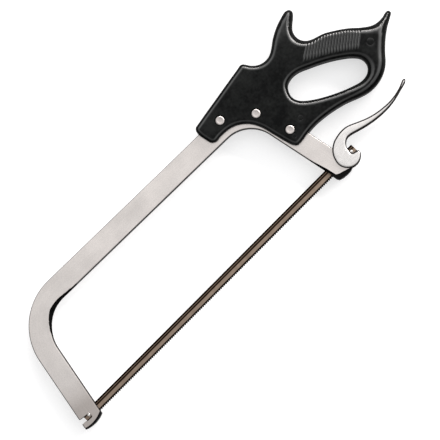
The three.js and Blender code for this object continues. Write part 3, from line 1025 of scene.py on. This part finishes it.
def blade():
    """The strip with its pin holes, its rolled line and teeth set to alternate sides."""
    low, high = ((corner - ORIGIN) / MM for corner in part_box("blade"))
    start, end, back = low.x, high.x, high.y
    tip, root = BLADE["tip"], BLADE["tip"] + BLADE["depth"]
    outline = [(start, back), (start, root)]
    x = start
    while x + BLADE["pitch"] < end:
        gullet = x + BLADE["lead"] + 0.45 * BLADE["pitch"]
        outline += [(x + BLADE["lead"], tip), (gullet, tip + 0.62 * BLADE["depth"]),
                    (x + BLADE["pitch"] - 0.18, root + 0.05), (x + BLADE["pitch"], root - 0.1)]
        x += BLADE["pitch"]
    outline += [(end, root), (end, back)]
    holes = [arc(centre, 0, half_size("front_blade_pin").x + FIT, 345, 0, 23)
             for centre in (0.0, PIN_SPAN)]
    lines = [(px, py) for px in np.arange(start + 1, end - 1, 2 * BLADE["pitch"])
             for py in (root + 0.6, 0.0, GROOVE["low"] - 0.15, GROOVE["low"] + 0.15,
                        GROOVE["high"] - 0.15, GROOVE["high"] + 0.15, back - 0.25)]
    loops = [np.array(outline)[::-1], *holes]
    extra = np.array(lines)
    extra = extra[distance_to(extra, loops) > 0.1]

    def lean_out(points):
        tooth = np.floor((points[:, 0] - start + 0.3) / BLADE["pitch"])
        lean = np.clip((root - points[:, 1]) / BLADE["depth"], 0, 1)
        return np.where(tooth % 2 == 0, 1, -1) * BLADE["set"] * lean

    def thickness(points):
        y = points[:, 1]
        rolled = np.clip(np.minimum(y - GROOVE["low"], GROOVE["high"] - y) / 0.15, 0, 1)
        thin = np.clip((back - y) / 0.25, 0, 1) * 0.08 + 0.92
        return BLADE["half"] * thin - GROOVE["depth"] * rolled

    strip = slab("saw_blade", loops, extra, lambda p: lean_out(p) + thickness(p),
                 lambda p: lean_out(p) - thickness(p))
    present(strip, "blade", blade_finish(), "blade", sharp=30)


# ---- tension lever

LEVER = {"half": half_size("tension_lever").z, "cad_edge": 0.8, "roll": 2.3,
         "fork": TUBE["top"] + FIT, "slit_x": (380, 420), "slit_top": 9.5,
         "shade_reach": 1.0, "back_shade_reach": 0.8}  # reach of the painted shade over the edges, and its extra on the back


def fork_gap():
    """The space between the lever's cheeks, which clears the arm through a quarter turn."""
    corner, end = np.array(AXIS[2]), np.array(AXIS[3])
    below = unit(end - corner)
    beside = np.array([-below[1], below[0]])
    cam = np.array(CAM)
    to_arm = float((cam - end) @ beside) - TUBE["half"] - FIT
    crotch = cam - beside * to_arm - below * to_arm
    upper, lower = crotch - below * 60, crotch + beside * 20
    far_x, far_y = 340, -40
    outline = [upper, (far_x, upper[1]), (far_x, far_y), (lower[0], far_y), lower, crotch]
    return prism(outline, -LEVER["fork"], LEVER["fork"])


def tension_lever():
    """The forked lever over its CAD outline, with the cam's hub and the hook for the rear pin."""
    half, roll = LEVER["half"], LEVER["roll"]
    outline = plan_loops("tension_lever", half - LEVER["cad_edge"])[0]
    loops = [resampled(outline, 0.8, sharp=50)]
    rings = roll * (1 - np.cos(np.radians(np.arange(15, 91, 15))))
    extra = thinned(inner_points(loops, rings, 2.6, roll + 0.8), 0.1)

    def upper(points):
        return rounded_height(distance_to(points, loops), half, roll)

    lever = slab("cam_lever", loops, extra, upper, lambda p: -upper(p))
    fork = LEVER["fork"]
    hub = cylinder(CAM, HUB_RADIUS, -fork - 1, fork + 1, 64)
    mouth = [(405.0, 3.0), (404.7, 0.3), (405.7, -2.2), (408.1, -3.1), (412.6, -4.6), (425, -5),
             (425, 8), (406.2, 6.5)]
    combine(hub, "DIFFERENCE", prism(mouth, -THROUGH, THROUGH))
    combine(lever, "DIFFERENCE", fork_gap())
    combine(lever, "UNION", hub)
    combine(lever, "DIFFERENCE", slit(LEVER["slit_x"], LEVER["slit_top"]))
    present(lever, "lever", lever_finish(), "tension_lever", sharp=42)
    plan = saw_points(lever)[:, :2]
    # edge distance for the painted shade, which reaches further over the back
    from_back = distance_to(plan + (0, LEVER["back_shade_reach"]), loops)
    store(lever, "edge", np.minimum(distance_to(plan, loops), from_back))


# ---- carried-over CAD nodes

def end_plugs():
    """The CAD plugs as they are, with their material."""
    finish = plug_finish()
    for node in ("front_end_plug", "rear_end_plug"):
        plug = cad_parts[node]
        plug.data.materials.clear()
        plug.data.materials.append(finish)


# ---- studio

VIEW = {"centre": (252.0, 49.4, 0.0), "width": 483.2, "distance": 2.4, "tilt": 6.0,
        "turn": 45.12}  # turn: angle of the blade above the picture's x
STRIP = {"turn": -24.0, "away": 2.3, "height": 1.24, "size": (3.8, 0.3), "power": 120,
         "colour": (1.0, 0.96, 0.935)}  # turn: degrees about z from the picture's upward side
TENT = {"rise": [(0.0, 0.12), (0.2, 0.25), (0.38, 0.75), (0.6, 1.08), (0.85, 1.15), (1.0, 1.12)],
        "sides": (0.30, 1.45)}  # brightness by height, and its factor on either side
FLOOR = {"half": 4.0, "cells": 8, "height": -0.0002}


def camera():
    """A long lens over the saw, tipped a little towards its teeth."""
    tilt, turn = math.radians(VIEW["tilt"]), math.radians(VIEW["turn"])
    along = Vector((1, 0, 0))
    upward = Vector((0, math.cos(tilt), math.sin(tilt)))
    back = Vector((0, -math.sin(tilt), math.cos(tilt)))
    right = along * math.cos(turn) - upward * math.sin(turn)
    up = along * math.sin(turn) + upward * math.cos(turn)
    eye = to_row(VIEW["centre"]) + back * VIEW["distance"]
    data = bpy.data.cameras.new("camera")
    data.sensor_width = 36.0
    data.lens = data.sensor_width * VIEW["distance"] / (VIEW["width"] * MM)
    made = bpy.data.objects.new("camera", data)
    made.matrix_world = Matrix((right, up, back)).transposed().to_4x4()
    made.matrix_world.translation = eye
    scene.collection.objects.link(made)
    scene.camera = made
    return up


def strip_light(place):
    """A long area light that faces the middle of the floor."""
    data = bpy.data.lights.new("strip", "AREA")
    data.shape = "RECTANGLE"
    data.size, data.size_y = STRIP["size"]
    data.energy = STRIP["power"]
    data.color = STRIP["colour"]
    made = bpy.data.objects.new("strip", data)
    made.location = place
    made.rotation_mode = "QUATERNION"
    made.rotation_quaternion = (-place).to_track_quat("-Z", "Y")
    made.visible_camera = False
    scene.collection.objects.link(made)


def tent(away):
    """A white tent round the table: dim at the horizon, bright overhead, brighter on one side."""
    world = bpy.data.worlds.new("tent")
    world.use_nodes = True
    n = Nodes(world.node_tree)
    direction = n.node("ShaderNodeTexCoord").outputs["Generated"]
    stops = [(height, grey(level)) for height, level in TENT["rise"]]
    rise = n.ramp(n.parts(direction)["Z"], stops, "EASE")
    towards = n.node("ShaderNodeVectorMath", operation="DOT_PRODUCT")
    n.feed(towards.inputs[0], direction)
    n.feed(towards.inputs[1], away)
    side = n.spread(towards.outputs["Value"], -0.7, 0.7, *TENT["sides"])
    seen = n.node("ShaderNodeMix")
    n.feed(seen.inputs["Factor"], n.node("ShaderNodeLightPath").outputs["Is Camera Ray"])
    n.feed(seen.inputs["A"], n.math("MULTIPLY", rise, side))
    n.feed(seen.inputs["B"], 1.0)
    background = n.tree.nodes["Background"]
    n.feed(background.inputs["Strength"], seen.outputs[0])
    n.feed(background.inputs["Color"], (1, 1, 1, 1))
    scene.world = world


def floor():
    """A square floor of equal cells just below the saw."""
    cells, row = FLOOR["cells"], FLOOR["cells"] + 1
    steps = np.linspace(-FLOOR["half"], FLOOR["half"], row)
    faces = [(j * row + i, j * row + i + 1, (j + 1) * row + i + 1, (j + 1) * row + i)
             for j in range(cells) for i in range(cells)]
    mesh = bpy.data.meshes.new("floor")
    mesh.from_pydata([(x, y, FLOOR["height"]) for y in steps for x in steps], [], faces)
    made = bpy.data.objects.new("floor", mesh)
    made.data.materials.append(floor_finish())
    scene.collection.objects.link(made)


def studio(top_of_picture):
    """A pale floor in a white tent, with a strip light beyond the picture's top."""
    away = Vector((top_of_picture.x, top_of_picture.y, 0)).normalized()
    away.rotate(Matrix.Rotation(math.radians(STRIP["turn"]), 3, "Z"))
    strip_light(away * STRIP["away"] + Vector((0, 0, STRIP["height"])))
    tent(away)
    floor()
    scene.view_settings.view_transform = "Standard"


studio(camera())
frame_tube()
end_plugs()
handle()
rivets()
tension_lever()
blade()
blade_pins()
